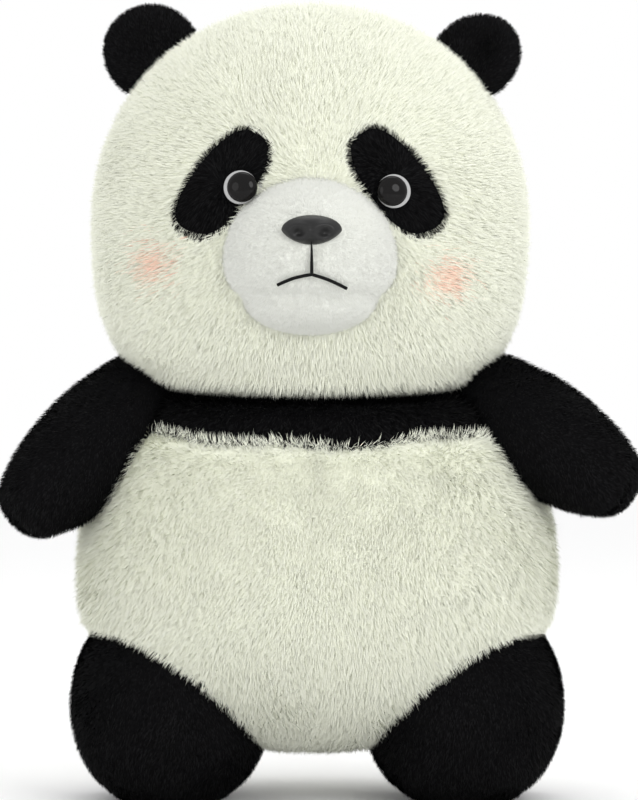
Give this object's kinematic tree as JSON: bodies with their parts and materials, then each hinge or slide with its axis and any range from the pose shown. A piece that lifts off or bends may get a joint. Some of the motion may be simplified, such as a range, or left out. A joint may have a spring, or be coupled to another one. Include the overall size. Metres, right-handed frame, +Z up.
{
  "type": "plush panda",
  "caption": "Free-standing stuffed panda with a wide head, short limbs, sewn pile panels, plastic eyes and nose; soft seams let the head, ears, arms and legs move.",
  "frame": {"origin": "middle of the overall box on the floor", "axes": "+Z up, the face looks along -Y, +X is the viewer's right when facing it"},
  "size_m": [0.2795, 0.194, 0.3514],
  "materials": {
    "cream_plush": "matte",
    "white_plush": "matte",
    "black_plush": "matte",
    "fibre_filling": "matte",
    "black_thread": "matte",
    "gloss_dark_plastic": "gloss",
    "nose_plastic": "satin",
    "eye_backing": "gloss",
    "washer_plastic": "matte"
  },
  "bodies": {
    "torso": {"belly_skin": "cream_plush", "back_left_skin": "cream_plush", "back_right_skin": "cream_plush", "shoulder_yoke": "black_plush", "torso_filling": "fibre_filling"},
    "neck": {"neck_filling": "fibre_filling", "neck_seam": "black_thread"},
    "head": {"face_left": "cream_plush", "face_right": "cream_plush", "head_back_left": "cream_plush", "head_back_right": "cream_plush", "head_underside": "cream_plush", "head_filling": "fibre_filling", "muzzle_skin": "white_plush", "chin_skin": "white_plush", "muzzle_filling": "fibre_filling", "nose": "nose_plastic", "nose_washer": "washer_plastic", "mouth_stitching": "black_thread", "eye_patch_left": "black_plush", "eye_patch_right": "black_plush", "eye_white_left": "eye_backing", "eye_white_right": "eye_backing", "eye_dome_left": "gloss_dark_plastic", "eye_dome_right": "gloss_dark_plastic", "eye_washer_left": "washer_plastic", "eye_washer_right": "washer_plastic"},
    "ear_left": {"ear_front_left": "black_plush", "ear_back_left": "black_plush"},
    "ear_right": {"ear_front_right": "black_plush", "ear_back_right": "black_plush"},
    "arm_left": {"arm_front_left": "black_plush", "arm_back_left": "black_plush", "arm_filling_left": "fibre_filling"},
    "arm_right": {"arm_front_right": "black_plush", "arm_back_right": "black_plush", "arm_filling_right": "fibre_filling"},
    "leg_left": {"leg_front_left": "black_plush", "leg_back_left": "black_plush", "sole_left": "black_plush", "leg_filling_left": "fibre_filling"},
    "leg_right": {"leg_front_right": "black_plush", "leg_back_right": "black_plush", "sole_right": "black_plush", "leg_filling_right": "fibre_filling"}
  },
  "joints": [
    {"name": "head_turn", "type": "hinge", "parent": "torso", "child": "neck", "pos_m": [0, 0.01, 0.171], "axis": [0, 0, 1], "range_deg": [-20, 20], "stiffness_Nm_per_rad": 2},
    {"name": "head_nod", "type": "hinge", "parent": "neck", "child": "head", "pos_m": [0, 0.056, 0.178], "axis": [-1, 0, 0], "range_deg": [0, 12], "stiffness_Nm_per_rad": 5},
    {"name": "arm_left_raise", "type": "hinge", "parent": "torso", "child": "arm_left", "pos_m": [-0.09, 0.008, 0.163], "axis": [0, 1, 0], "range_deg": [0, 55], "stiffness_Nm_per_rad": 0.2},
    {"name": "arm_right_raise", "type": "hinge", "parent": "torso", "child": "arm_right", "pos_m": [0.09, 0.008, 0.163], "axis": [0, -1, 0], "range_deg": [0, 55], "stiffness_Nm_per_rad": 0.2},
    {"name": "leg_left_kick", "type": "hinge", "parent": "torso", "child": "leg_left", "pos_m": [-0.0655, 0.008, 0.042], "axis": [-1, 0, 0], "range_deg": [-5, 20], "stiffness_Nm_per_rad": 20},
    {"name": "leg_right_kick", "type": "hinge", "parent": "torso", "child": "leg_right", "pos_m": [0.0655, 0.008, 0.042], "axis": [-1, 0, 0], "range_deg": [-5, 20], "stiffness_Nm_per_rad": 20},
    {"name": "ear_left_fold", "type": "hinge", "parent": "head", "child": "ear_left", "pos_m": [-0.06889, 0.01, 0.32432], "axis": [0.725, 0.1392, 0.6745], "range_deg": [-25, 25], "stiffness_Nm_per_rad": 0.04},
    {"name": "ear_right_fold", "type": "hinge", "parent": "head", "child": "ear_right", "pos_m": [0.06541, 0.01, 0.32191], "axis": [0.5862, -0.5592, -0.5862], "range_deg": [-25, 25], "stiffness_Nm_per_rad": 0.04}
  ]
}
